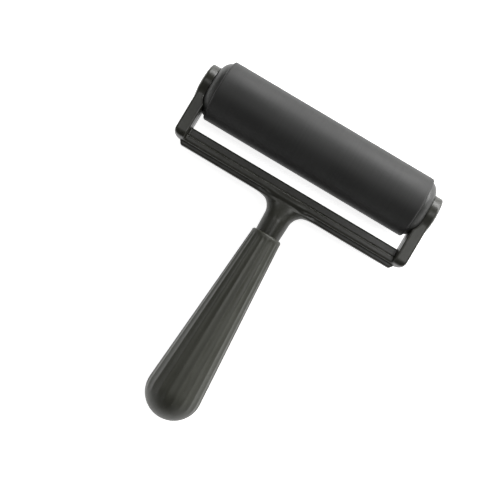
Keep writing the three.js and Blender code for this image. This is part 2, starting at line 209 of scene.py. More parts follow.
def lofted(rings: Sequence[np.ndarray], closes_on_itself: bool) -> Shell:
    """Skins a run of rings that have the same number of points.

    Args:
        rings: The rings, each an array of points. A ring whose points are all alike is a pole.
        closes_on_itself: Whether the last ring is joined to the first, as round a washer.

    Returns:
        The closed shell.
    """
    points: list[np.ndarray] = []
    indices: list[list[int]] = []
    for ring in rings:
        if np.ptp(ring, axis=0).max() < POLE_SIZE:
            indices.append([len(points)] * len(ring))
            points.append(ring[0])
        else:
            indices.append(list(range(len(points), len(points) + len(ring))))
            points.extend(ring)
    faces = []
    pairs = list(zip(indices, indices[1:]))
    if closes_on_itself:
        pairs.append((indices[-1], indices[0]))
    for low, high in pairs:
        for i, j in zip(range(len(low)), [*range(1, len(low)), 0]):
            corners = dict.fromkeys((low[i], low[j], high[j], high[i]))
            if len(corners) > 2:
                faces.append(tuple(corners))
    return Shell(np.array(points), faces).outward()


def turned(outline: np.ndarray, facets: int, axis: Axis = Axis.X) -> Shell:
    """Turns an outline about an axis.

    Args:
        outline: Points as distances along the axis and out from it. It starts and ends on the axis,
            or it closes on itself.
        facets: The number of facets round the axis.
        axis: The axis to turn about.

    Returns:
        The closed shell.
    """
    angles = np.arange(facets) * 2 * math.pi / facets
    rings = []
    for along, out in outline:
        length, first, second = np.full(facets, along), out * np.cos(angles), out * np.sin(angles)
        columns = (length, first, second) if axis is Axis.X else (second, length, first)
        rings.append(np.stack(columns, axis=1))
    on_axis = outline[0][1] == 0 and outline[-1][1] == 0
    return lofted(rings, closes_on_itself=not on_axis)


def ring_outline(start: float, end: float, bore: float, radius: float, edge: float) -> np.ndarray:
    """Draws a plain ring's outline with broken edges.

    Args:
        start: Where the ring starts along the axis.
        end: Where it ends.
        bore: The hole's radius.
        radius: The outer radius.
        edge: The rounding of all four edges.

    Returns:
        The outline's points.
    """
    places = ((start, bore), (start, radius), (end, radius), (end, bore))
    return rounded([Corner(along, out, edge) for along, out in places], steps=4)


# ---------------------------------------------------------------------------------------------------
# Solids by distance, for the moulded yoke and its fillets


@dataclass(frozen=True)
class FlatOutline:
    """A closed outline that tells how far any point is from it."""

    points: np.ndarray

    def distance(self, u: np.ndarray, v: np.ndarray) -> np.ndarray:
        """Measures the distance of points to the outline.

        Args:
            u: The points' first coordinates.
            v: Their second ones.

        Returns:
            The distances, negative inside the outline.
        """
        nearest = np.full(np.broadcast(u, v).shape, np.inf, dtype=np.float32)
        inside = np.zeros(nearest.shape, dtype=bool)
        for (u0, v0), (u1, v1) in zip(self.points, np.roll(self.points, -1, axis=0)):
            edge_u, edge_v = u1 - u0, v1 - v0
            share = ((u - u0) * edge_u + (v - v0) * edge_v) / (edge_u**2 + edge_v**2)
            share = np.clip(share, 0, 1)
            apart = (u - u0 - share * edge_u) ** 2 + (v - v0 - share * edge_v) ** 2
            nearest = np.minimum(nearest, apart)
            if edge_v != 0:
                crosses = (v0 <= v) != (v1 <= v)
                inside ^= crosses & (u < u0 + (v - v0) * edge_u / edge_v)
        return np.where(inside, -1, 1) * np.sqrt(nearest)


def united(first: np.ndarray, second: np.ndarray, fillet: float) -> np.ndarray:
    """Joins two solids with a round fillet between them.

    Args:
        first: Distances to the first solid.
        second: Distances to the second one.
        fillet: The fillet's radius.

    Returns:
        Distances to the two together.
    """
    reach = np.hypot(np.maximum(fillet - first, 0), np.maximum(fillet - second, 0))
    return np.maximum(fillet, np.minimum(first, second)) - reach


def shared(first: np.ndarray, second: np.ndarray, rounding: float) -> np.ndarray:
    """Keeps what two solids share, with the edge between them rounded.

    Args:
        first: Distances to the first solid.
        second: Distances to the second one.
        rounding: The edge's radius.

    Returns:
        Distances to the shared part.
    """
    return -united(-first, -second, rounding)


def plate(across: np.ndarray, height: np.ndarray, thickness: float, rounding: float) -> np.ndarray:
    """Makes a flat outline a plate centred on nought, its edges rounded.

    Args:
        across: Distances to the outline.
        height: Heights from the plate's middle.
        thickness: The plate's thickness.
        rounding: The edges' radius.

    Returns:
        Distances to the plate.
    """
    return shared(across, np.abs(height) - thickness / 2, rounding)


def gradient(distances: Field, points: np.ndarray, reach: float) -> np.ndarray:
    """Measures how a field of distances rises at some points.

    Args:
        distances: The field.
        points: The points, one to a row.
        reach: How far to either side it is measured.

    Returns:
        The slopes, one row for each point.
    """
    slopes = []
    for axis in range(3):
        step = np.zeros(3)
        step[axis] = reach
        rise = distances(*(points + step).T) - distances(*(points - step).T)
        slopes.append(rise / (2 * reach))
    return np.stack(slopes, axis=1)


def skinned(
    distances: Field, half_size: tuple[float, float, float], middle_y: float, step: float
) -> Shell:
    """Lays a skin of four-sided faces where a field of distances is nought.

    Args:
        distances: The field, the same at both sides of X = 0.
        half_size: Half the size of the box that holds the solid.
        middle_y: The Y of the box's middle.
        step: The size of a face.

    Returns:
        The closed shell.
    """
    counts = [math.ceil(size / step) for size in half_size]
    low = -np.array(counts) * step + np.array([0, middle_y, 0])
    grid = [low[axis] + step * np.arange(2 * counts[axis] + 1) for axis in range(3)]
    right_half = distances(*np.ix_(grid[0][counts[0]:], grid[1], grid[2]))
    values = np.concatenate([right_half[:0:-1], right_half])
    inside = values < 0

    shape = tuple(length - 1 for length in values.shape)
    offsets = np.array(list(itertools.product((0, 1), repeat=3)))
    windows = [inside[tuple(slice(o, o + n) for o, n in zip(offset, shape))] for offset in offsets]
    filled = sum(window.astype(np.int8) for window in windows)
    cells = np.argwhere((filled > 0) & (filled < 8))
    corners = np.stack([values[tuple((cells + offset).T)] for offset in offsets], axis=1)
    places, hits = np.zeros(cells.shape), np.zeros(len(cells))
    for a, b in itertools.combinations(range(8), 2):
        if np.abs(offsets[a] - offsets[b]).sum() != 1:
            continue
        crosses = (corners[:, a] < 0) != (corners[:, b] < 0)
        change = np.where(crosses, corners[:, a] - corners[:, b], 1)
        share = (corners[:, a] / change)[:, None]
        places += crosses[:, None] * (offsets[a] + share * (offsets[b] - offsets[a]))
        hits += crosses
    points = low + step * (cells + places / hits[:, None])

    number = np.full(shape, -1)
    number[tuple(cells.T)] = np.arange(len(cells))
    faces: list[tuple[int, ...]] = []
    for axis in range(3):
        steps = np.roll(np.eye(3, dtype=int), -axis - 1, axis=0)
        ends = np.take(inside, range(1, inside.shape[axis]), axis)
        starts = np.take(inside, range(inside.shape[axis] - 1), axis)
        edges = np.argwhere(starts != ends)
        around = [edges, edges - steps[0], edges - steps[0] - steps[1], edges - steps[1]]
        quads = np.stack([number[tuple(cell.T)] for cell in around], axis=1)
        starts_inside = starts[tuple(edges.T)]
        quads[~starts_inside] = quads[~starts_inside][:, ::-1]
        faces.extend(map(tuple, quads.tolist()))

    for _ in range(SETTLING_ROUNDS):
        slopes = gradient(distances, points, SLOPE_REACH)
        steepness = np.maximum((slopes**2).sum(axis=1), LEAST_STEEPNESS)
        shift = np.clip(distances(*points.T) / steepness, -step / 2, step / 2)
        points = points - shift[:, None] * slopes
    return Shell(points, faces).outward()


# ---------------------------------------------------------------------------------------------------
# Node trees


@dataclass
class NodeTree:
    """A node tree under construction, with short calls for what the trees here use."""

    tree: bpy.types.NodeTree

    def add(self, kind: str, **settings: object) -> bpy.types.Node:
        """Adds a node.

        Args:
            kind: The node's type.
            **settings: The node's properties.

        Returns:
            The node.
        """
        node = self.tree.nodes.new(kind)
        for name, value in settings.items():
            setattr(node, name, value)
        return node

    def feed(self, socket: bpy.types.NodeSocket, value: object) -> None:
        """Links an output to a socket, or sets the socket to a plain value.

        Args:
            socket: The input socket.
            value: An output socket, a number, a vector or a colour.
        """
        if isinstance(value, bpy.types.NodeSocket):
            self.tree.links.new(value, socket)
        else:
            socket.default_value = value

    def fill(self, node: bpy.types.Node, inputs: dict[str | int, object]) -> bpy.types.Node:
        """Feeds a node's inputs and returns the node.

        Args:
            node: The node.
            inputs: What each input gets, by the input's name or number.
        """
        for name, value in inputs.items():
            self.feed(node.inputs[name], value)
        return node

    def math(self, operation: str, *values: object) -> bpy.types.NodeSocket:
        """Adds a math node and returns its output.

        Args:
            operation: The node's operation.
            *values: Its inputs, in order.
        """
        node = self.add("ShaderNodeMath", operation=operation)
        return self.fill(node, dict(enumerate(values))).outputs[0]

    def vector_math(self, operation: str, *values: object) -> bpy.types.Node:
        """Adds a vector math node and returns it.

        Args:
            operation: The node's operation.
            *values: Its inputs, in order. A plain number goes in as the scale.
        """
        node = self.add("ShaderNodeVectorMath", operation=operation)
        names = ["Vector", "Scale"] if operation == "SCALE" else range(len(values))
        return self.fill(node, dict(zip(names, values)))

    def ramp(
        self, value: object, start: object, end: object, low: object, high: object
    ) -> bpy.types.NodeSocket:
        """Adds a smooth step between two places and returns its output.

        Args:
            value: What is mapped.
            start: Where the step starts.
            end: Where it ends.
            low: The result at the start.
            high: The result at the end.
        """
        node = self.add("ShaderNodeMapRange", interpolation_type="SMOOTHSTEP")
        self.fill(node, dict(enumerate((value, start, end, low, high))))
        return node.outputs["Result"]

    def noise(self, vector: bpy.types.NodeSocket, size: float, detail: float) -> bpy.types.NodeSocket:
        """Adds a noise pattern and returns its value.

        Args:
            vector: The coordinates, in metres.
            size: The size of its features, in millimetres.
            detail: How many finer layers it has.
        """
        node = self.add("ShaderNodeTexNoise")
        self.fill(node, {"Vector": vector, "Scale": 1 / (size * MM), "Detail": detail})
        return node.outputs["Fac"]

    def mix(self, share: object, first: object, second: object) -> bpy.types.NodeSocket:
        """Mixes two colours and returns the result.

        Args:
            share: How much of the second one there is.
            first: The first colour.
            second: The second colour.
        """
        node = self.add("ShaderNodeMix", data_type="RGBA")
        colours = [socket for socket in node.inputs if socket.type == "RGBA"]
        self.feed(node.inputs[0], share)
        self.feed(colours[0], first)
        self.feed(colours[1], second)
        return next(socket for socket in node.outputs if socket.type == "RGBA")


@dataclass
class GeometryRule:
    """A Geometry Nodes tree with named inputs, and what each is set to."""

    name: str
    values: dict[str, object] = field(default_factory=dict)

    SOCKETS = {
        bool: "NodeSocketBool",
        int: "NodeSocketInt",
        float: "NodeSocketFloat",
        Vector: "NodeSocketVector",
        bpy.types.Material: "NodeSocketMaterial",
    }

    def start(self) -> tuple[NodeTree, bpy.types.Node, bpy.types.Node]:
        """Makes the tree with an input for each value.

        Returns:
            The tree, its group input node and its group output node.
        """
        tree = bpy.data.node_groups.new(self.name, "GeometryNodeTree")
        tree.interface.new_socket("Geometry", in_out="INPUT", socket_type="NodeSocketGeometry")
        tree.interface.new_socket("Geometry", in_out="OUTPUT", socket_type="NodeSocketGeometry")
        for name, value in self.values.items():
            tree.interface.new_socket(name, in_out="INPUT", socket_type=self.SOCKETS[type(value)])
        nodes = NodeTree(tree)
        return nodes, nodes.add("NodeGroupInput"), nodes.add("NodeGroupOutput")

    def end(
        self,
        nodes: NodeTree,
        geometry: bpy.types.NodeSocket,
        given: bpy.types.Node,
        out: bpy.types.Node,
    ) -> None:
        """Ends the tree: it makes instances real and sets the material.

        Args:
            nodes: The tree.
            geometry: The geometry so far.
            given: The group input node.
            out: The group output node.
        """
        realize = nodes.add("GeometryNodeRealizeInstances")
        dress = nodes.add("GeometryNodeSetMaterial")
        nodes.fill(realize, {"Geometry": geometry})
        material = given.outputs["Material"]
        nodes.fill(dress, {"Geometry": realize.outputs["Geometry"], "Material": material})
        nodes.feed(out.inputs[0], dress.outputs["Geometry"])

    def apply(self, piece: bpy.types.Object, tree: bpy.types.NodeTree) -> None:
        """Runs the tree on a piece and keeps the result as the piece's plain mesh.

        Args:
            piece: The piece.
            tree: The finished tree.
        """
        modifier = piece.modifiers.new(self.name, "NODES")
        modifier.node_group = tree
        for item in tree.interface.items_tree:
            if item.in_out == "INPUT" and item.name in self.values:
                modifier[item.identifier] = self.values[item.name]
        graph = bpy.context.evaluated_depsgraph_get()
        result = bpy.data.meshes.new_from_object(piece.evaluated_get(graph))
        piece.modifiers.remove(modifier)
        before, piece.data = piece.data, result
        bpy.data.meshes.remove(before)
        result.name = piece.name


# ---------------------------------------------------------------------------------------------------
# Finishes


@dataclass(frozen=True)
class Finish:
    """A surface finish. Colours are linear, and sizes and depths are in millimetres."""

    name: str
    slot: str
    dark: Colour
    light: Colour
    worn: Colour
    roughness: tuple[float, float]
    grain: Grain
    grain_size: float
    grain_depth: float
    blotch_size: float = 14.0
    wear: float = 0.5
    metallic: float = 0.0
    blotch_share: float = 0.55
    tone_range: tuple[float, float] = (0.36, 0.64)
    edge_range: tuple[float, float] = (0.515, 0.6)
    rub_range: tuple[float, float] = (0.4, 0.62)
    speck_range: tuple[float, float] = (0.68, 0.8)
    speck_strength: float = 0.35

    def material(self) -> bpy.types.Material:
        """Returns the finish as a material, made the first time and found after that."""
        found = bpy.data.materials.get(self.name)
        if found:
            return found
        material = bpy.data.materials.new(self.name)
        material.use_nodes = True
        nodes = NodeTree(material.node_tree)
        shader = material.node_tree.nodes["Principled BSDF"]
        self._dress(nodes, shader)
        return material

    def _dress(self, nodes: NodeTree, shader: bpy.types.Node) -> None:
        """Builds the colour, roughness and bump.

        Args:
            nodes: The material's tree.
            shader: Its surface shader.
        """
        place = nodes.add("ShaderNodeTexCoord").outputs["Object"]
        stretched = nodes.add("ShaderNodeMapping")
        nodes.feed(stretched.inputs["Vector"], place)
        stretched.inputs["Scale"].default_value = self.grain.value
        marks = nodes.noise(stretched.outputs["Vector"], self.grain_size, 3)
        coarse_marks = nodes.noise(stretched.outputs["Vector"], self.grain_size * 4, 2)
        blotches = nodes.noise(place, self.blotch_size, 4)
        specks = nodes.noise(place, self.grain_size * 1.7, 1)

        broad = nodes.math("MULTIPLY", blotches, self.blotch_share)
        fine = nodes.math("MULTIPLY", coarse_marks, 1 - self.blotch_share)
        tone = nodes.ramp(nodes.math("ADD", broad, fine), *self.tone_range, 0.0, 1.0)
        base = nodes.mix(tone, (*self.dark, 1), (*self.light, 1))
        pointed = nodes.add("ShaderNodeNewGeometry").outputs["Pointiness"]
        edge = nodes.ramp(pointed, *self.edge_range, 0.0, self.wear)
        rubbed = nodes.math("MULTIPLY", edge, nodes.ramp(blotches, *self.rub_range, 0.25, 1.0))
        speckled = nodes.ramp(specks, *self.speck_range, 0.0, self.speck_strength)
        rubbed = nodes.math("MAXIMUM", rubbed, speckled)
        nodes.feed(shader.inputs["Base Color"], nodes.mix(rubbed, base, (*self.worn, 1)))

        low, high = self.roughness
        worn_smooth = nodes.math("MULTIPLY", edge, (low - high) * 0.5)
        uneven = nodes.math("ADD", blotches, nodes.math("MULTIPLY", marks, 0.5))
        rough = nodes.ramp(uneven, 0.5, 1.0, low, high)
        nodes.feed(shader.inputs["Roughness"], nodes.math("ADD", rough, worn_smooth))

        bump = nodes.add("ShaderNodeBump")
        height = nodes.math("ADD", marks, nodes.math("MULTIPLY", coarse_marks, 0.8))
        nodes.fill(bump, {"Strength": 1.0, "Distance": self.grain_depth * MM, "Height": height})
        nodes.feed(shader.inputs["Normal"], bump.outputs["Normal"])
        shader.inputs["Metallic"].default_value = self.metallic


RUBBER = Finish(
    "ground_rubber", "roller_rubber",
    dark=(0.0065, 0.0066, 0.006), light=(0.011, 0.0112, 0.0105), worn=(0.035, 0.035, 0.033),
    roughness=(0.54, 0.64), grain=Grain.GROUND_ROUND_AXLE, grain_size=0.22, grain_depth=0.004,
    blotch_size=18, wear=0.35,
)
YOKE_PLASTIC = Finish(
    "moulded_yoke_plastic", "yoke_plastic",
    dark=(0.0105, 0.0107, 0.0068), light=(0.0175, 0.018, 0.0125), worn=(0.065, 0.065, 0.055),
    roughness=(0.27, 0.37), grain=Grain.SPARKED, grain_size=0.35, grain_depth=0.01,
)
GRIP_PLASTIC = Finish(
    "moulded_grip_plastic", "grip_plastic",
    dark=(0.025, 0.0257, 0.018), light=(0.035, 0.036, 0.027), worn=(0.085, 0.085, 0.072),
    roughness=(0.36, 0.52), grain=Grain.DRAWN_ALONG_HANDLE, grain_size=0.4, grain_depth=0.01,
    blotch_size=20,
)
HUB_PLASTIC = Finish(
    "moulded_hub_plastic", "hub_plastic",
    dark=(0.014, 0.0145, 0.0135), light=(0.024, 0.0245, 0.0225), worn=(0.06, 0.06, 0.055),
    roughness=(0.36, 0.5), grain=Grain.SPARKED, grain_size=0.3, grain_depth=0.006,
)
WASHER_PLASTIC = Finish(
    "black_nylon", "washer_plastic",
    dark=(0.008, 0.008, 0.008), light=(0.014, 0.014, 0.0135), worn=(0.04, 0.04, 0.038),
    roughness=(0.42, 0.55), grain=Grain.SPARKED, grain_size=0.3, grain_depth=0.004,
)
ALUMINIUM = Finish(
    "drawn_aluminium", "core_aluminium",
    dark=(0.5, 0.51, 0.52), light=(0.62, 0.63, 0.64), worn=(0.75, 0.75, 0.76),
    roughness=(0.28, 0.42), grain=Grain.DRAWN_ALONG_AXLE, grain_size=0.25, grain_depth=0.004,
    metallic=1.0,
)
BRONZE = Finish(
    "oiled_bronze", "bush_bronze",
    dark=(0.3, 0.19, 0.07), light=(0.45, 0.3, 0.12), worn=(0.6, 0.42, 0.2),
    roughness=(0.28, 0.42), grain=Grain.GROUND_ROUND_AXLE, grain_size=0.15, grain_depth=0.004,
    metallic=1.0,
)
STEEL = Finish(
    "ground_steel", "axle_steel",
    dark=(0.38, 0.385, 0.39), light=(0.5, 0.505, 0.51), worn=(0.65, 0.65, 0.66),
    roughness=(0.22, 0.36), grain=Grain.GROUND_ROUND_AXLE, grain_size=0.12, grain_depth=0.002,
    metallic=1.0,
)
BLACK_STEEL = Finish(
    "blacked_steel", "screw_black",
    dark=(0.02, 0.02, 0.022), light=(0.04, 0.04, 0.042), worn=(0.2, 0.19, 0.18),
    roughness=(0.32, 0.46), grain=Grain.SPARKED, grain_size=0.2, grain_depth=0.003,
    metallic=0.85, wear=0.8,
)


# ---------------------------------------------------------------------------------------------------
# Pieces


@dataclass(frozen=True)
class AxleLine:
    """Where the axle's middle is, in metres."""

    middle: Vector

    @classmethod
    def from_frame(cls) -> "AxleLine":
        """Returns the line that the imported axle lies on."""
        low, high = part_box("axle")
        return cls((low + high) / 2)

    def reach(self, node: str) -> tuple[float, float]:
        """Measures a right-hand node along the axle.

        Args:
            node: The node's name.

        Returns:
            Its start and end, in millimetres from the middle.
        """
        low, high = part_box(node)
        return (low.x - self.middle.x) / MM, (high.x - self.middle.x) / MM

    def radius(self, node: str) -> float:
        """Returns a turned node's largest radius, in millimetres.

        Args:
            node: The node's name.
        """
        low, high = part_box(node)
        return (high.z - low.z) / 2 / MM

    def behind(self, node: str) -> tuple[float, float]:
        """Returns how far behind the axle a node starts and ends, in millimetres.

        Args:
            node: The node's name.
        """
        low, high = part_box(node)
        return (self.middle.y - high.y) / MM, (self.middle.y - low.y) / MM


def new_object(name: str, shell: Shell, middle: Vector) -> bpy.types.Object:
    """Makes a shell an object at the origin, its place in its mesh.

    Args:
        name: The object's name.
        shell: The shell, in millimetres from the axle's middle.
        middle: The axle's middle, in metres.

    Returns:
        The object.
    """
    mesh = bpy.data.meshes.new(name)
    points = shell.points * MM + np.array(middle)
    mesh.from_pydata(points.tolist(), [], shell.faces)
    mesh.polygons.foreach_set("use_smooth", np.ones(len(mesh.polygons), dtype=bool))
    mesh.update()
    piece = bpy.data.objects.new(name, mesh)
    bpy.context.scene.collection.objects.link(piece)
    return piece


def hand_over(piece: bpy.types.Object, finish: Finish, body: Body, nodes: Sequence[str]) -> None:
    """Dresses a finished piece, sets it on its body and lets it stand for its nodes.

    Args:
        piece: The piece.
        finish: Its finish.
        body: The body that it rides on.
        nodes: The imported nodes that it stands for.
    """
    piece.data.materials.clear()
    piece.data.materials.append(finish.material())
    piece.data.set_sharp_from_angle(angle=SMOOTH_ANGLE)
    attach(piece, body.value)
    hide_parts(*nodes)
    triangles = sum(len(polygon.vertices) - 2 for polygon in piece.data.polygons)
    log.info("%s: %d triangles, %s, on %s", piece.name, triangles, finish.name, body.value)


@dataclass
class EndPair:
    """A rule that puts a shape made for the right end at both ends of the axle."""

    line: AxleLine

    def place(self, name: str, shell: Shell, finish: Finish, nodes: Sequence[str]) -> None:
        """Makes one piece of the shape's two copies, riding on the yoke.

        Args:
            name: The piece's name.
            shell: The right-hand shape, in millimetres from the axle's middle.
            finish: The piece's finish.
            nodes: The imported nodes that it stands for.
        """
        piece = new_object(name, shell, Vector())
        middle, material = self.line.middle.copy(), finish.material()
        rule = GeometryRule(
            "both_ends",
            {"Middle": middle, "Copies": 2, "Turn": math.pi, "Material": material},
        )
        tree, given, out = rule.start()
        points = tree.add("GeometryNodeMeshLine")
        copies, middle = given.outputs["Copies"], given.outputs["Middle"]
        tree.fill(points, {"Count": copies, "Start Location": middle, "Offset": (0.0, 0.0, 0.0)})
        index = tree.add("GeometryNodeInputIndex").outputs[0]
        turn = tree.add("ShaderNodeCombineXYZ")
        tree.fill(turn, {"Z": tree.math("MULTIPLY", index, given.outputs["Turn"])})
        placed = tree.add("GeometryNodeInstanceOnPoints")
        shape = given.outputs["Geometry"]
        tree.fill(placed, {"Points": points.outputs["Mesh"], "Instance": shape})
        tree.fill(placed, {"Rotation": turn.outputs["Vector"]})
        rule.end(tree, placed.outputs["Instances"], given, out)
        rule.apply(piece, tree.tree)
        hand_over(piece, finish, Body.YOKE, nodes)


@dataclass
class Roller:
    """What turns: the rubber sleeve on its core tube, and a bushed hub in each end."""

    line: AxleLine
    sleeve_facets: int = 240
    hub_facets: int = 160
    shoulder: float = 0.9
    sleeve_bore: float = 9.2
    tube_bore: float = 7.0
    edge: float = 0.25
    hub_gap: float = 0.06
    hub_nose: float = 9.0
    hub_dome_power: float = 1.29
    spigot: float = 6.8
    bush_radius: float = 4.0
    bush_bore: float = 2.58
    bush_flange: float = 1.0
    bush_gap: float = 0.2

    def build(self) -> None:
        """Builds and dresses every piece of the roller."""
        self._sleeve()
        self._core_tube()
        for side in Side:
            self._hub(side)
            self._bush(side)

    def _add(self, name: str, shell: Shell, finish: Finish, node: str) -> None:
        """Makes a shell a piece of the roller.

        Args:
            name: The piece's name.
            shell: The shell.
            finish: The piece's finish.
            node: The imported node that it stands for.
        """
        hand_over(new_object(name, shell, self.line.middle), finish, Body.ROLLER, [node])

    def _sleeve(self) -> None:
        """Turns the rubber sleeve, with softly rounded shoulders and broken edges at its bore."""
        start, end = self.line.reach("roller_sleeve")
        radius = self.line.radius("roller_sleeve")
        corners = [
            Corner(start, self.sleeve_bore, self.edge),
            Corner(start, radius, self.shoulder),
            Corner(end, radius, self.shoulder),
            Corner(end, self.sleeve_bore, self.edge),
        ]
        shell = turned(rounded(corners, 10), self.sleeve_facets)
        self._add("rubber_sleeve", shell, RUBBER, "roller_sleeve")

    def _core_tube(self) -> None:
        """Turns the tube inside the sleeve."""
        start, end = self.line.reach("core_tube")
        outline = ring_outline(start, end, self.tube_bore, self.line.radius("core_tube"), self.edge)
        self._add("aluminium_core", turned(outline, self.hub_facets), ALUMINIUM, "core_tube")

    def _hub(self, side: Side) -> None:
        """Turns a hub: a spigot in the tube and a domed flange, bored for its bush.

        Args:
            side: The end of the roller that it closes.
        """
        start, end = self.line.reach("hub_right")
        flange_start = self.line.reach("roller_sleeve")[1] + self.hub_gap
        bore, pocket = self.bush_radius + self.bush_gap, self.line.radius("bush_right") + self.bush_gap
        pocket_floor = end - self.bush_flange - self.bush_gap
        rim, nose = (flange_start, self.line.radius("hub_right")), (end, self.hub_nose)
        corners = [
            Corner(start, bore, self.edge),
            Corner(start, self.spigot, 2 * self.edge),
            Corner(flange_start, self.spigot),
            *dome(rim, nose, 16, self.hub_dome_power),
            Corner(end, pocket, self.edge),
            Corner(pocket_floor, pocket),
            Corner(pocket_floor, bore),
        ]
        shell = turned(rounded(corners, 4), self.hub_facets).at(side)
        name = side.name.lower()
        self._add(f"domed_hub_{name}", shell, HUB_PLASTIC, f"hub_{name}")

    def _bush(self, side: Side) -> None:
        """Turns a plain bush with a thrust flange.

        Args:
            side: The hub that it is pressed into.
        """
        start, end = self.line.reach("bush_right")
        flange_start = end - self.bush_flange
        corners = [
            Corner(start, self.bush_bore, self.edge),
            Corner(start, self.bush_radius, self.edge),
            Corner(flange_start, self.bush_radius),
            Corner(flange_start, self.line.radius("bush_right"), self.edge / 2),
            Corner(end, self.line.radius("bush_right"), self.edge),
            Corner(end, self.bush_bore, self.edge),
        ]
        shell = turned(rounded(corners, 4), self.hub_facets).at(side)
        name = side.name.lower()
        self._add(f"flanged_bush_{name}", shell, BRONZE, f"bush_{name}")


@dataclass
class AxleSet:
    """The fixed axle, with the washers and screws that hold it in the yoke."""

    line: AxleLine
    facets: int = 96
    edge: float = 0.3
    thrust_bore: float = 2.62
    thrust_edge: float = 0.12
    tapped_radius: float = 1.6
    tapped_depth: float = 10.0
    washer_bore: float = 1.6
    washer_edge: float = 0.08
    head_height: float = 1.5
    shank_radius: float = 1.5
    crown_radius: float = 1.75
    rim_height: float = 0.4
    socket_radius: float = 1.15
    socket_depth: float = 0.9
    socket_edge: float = 0.12

    def build(self) -> None:
        """Builds and dresses the axle, both pairs of washers and both screws."""
        self._axle()
        pair = EndPair(self.line)
        thrust = self._washer("thrust_washer_right", self.thrust_bore, self.thrust_edge)
        names = ["thrust_washer_left", "thrust_washer_right"]
        pair.place("thrust_washers", thrust, WASHER_PLASTIC, names)
        flat = self._washer("screw_washer_right", self.washer_bore, self.washer_edge)
        pair.place("flat_washers", flat, STEEL, ["screw_washer_left", "screw_washer_right"])
        names = ["axle_screw_left", "axle_screw_right"]
        pair.place("socket_screws", self._screw(), BLACK_STEEL, names)

    def _axle(self) -> None:
        """Turns the axle, tapped at both ends."""
        start, end = self.line.reach("axle")
        radius, hole = self.line.radius("axle"), self.tapped_radius
        hole_end = end - self.tapped_depth
        corners = [
            Corner(-hole_end + hole / 2, 0),
            Corner(-hole_end, hole),
            Corner(start, hole, self.edge / 2),
            Corner(start, radius, self.edge),
            Corner(end, radius, self.edge),
            Corner(end, hole, self.edge / 2),
            Corner(hole_end, hole),
            Corner(hole_end - hole / 2, 0),
        ]
        piece = new_object("steel_axle", turned(rounded(corners, 3), self.facets), self.line.middle)
        hand_over(piece, STEEL, Body.YOKE, ["axle"])

    def _washer(self, node: str, bore: float, edge: float) -> Shell:
        """Turns a washer.

        Args:
            node: The right-hand packed washer.
            bore: Its hole's radius.
            edge: The rounding of its edges.

        Returns:
            The right-hand washer.
        """
        start, end = self.line.reach(node)
        return turned(ring_outline(start, end, bore, self.line.radius(node), edge), self.facets)

    def _screw(self) -> Shell:
        """Makes a screw with a low domed head and a hexagon socket.

        Returns:
            The right-hand screw.
        """
        start, end = self.line.reach("axle_screw_right")
        radius = self.line.radius("axle_screw_right")
        head = end - self.head_height
        angles = np.arange(self.facets) * 2 * math.pi / self.facets
        from_flat = np.mod(angles, math.pi / 3) - math.pi / 6
        hexagon = math.cos(math.pi / 6) / np.cos(from_flat)
        circle = np.ones(self.facets)
        floor = end - self.socket_depth
        outline = rounded(
            [
                Corner(start, 0),
                Corner(start, self.shank_radius, self.edge),
                Corner(head, self.shank_radius),
                Corner(head, radius, self.edge / 3),
                *dome((head + self.rim_height, radius), (end, self.crown_radius), 10),
            ],
            4,
        )
        sections = [(along, out * circle) for along, out in outline]
        sections += [
            (end, (self.socket_radius + self.socket_edge) * hexagon),
            (end - self.socket_edge, self.socket_radius * hexagon),
            (floor, self.socket_radius * hexagon),
            (floor - self.socket_edge, 0 * circle),
        ]
        rings = []
        for along, out in sections:
            columns = np.full(self.facets, along), out * np.cos(angles), out * np.sin(angles)
            rings.append(np.stack(columns, axis=1))
        return lofted(rings, closes_on_itself=False)


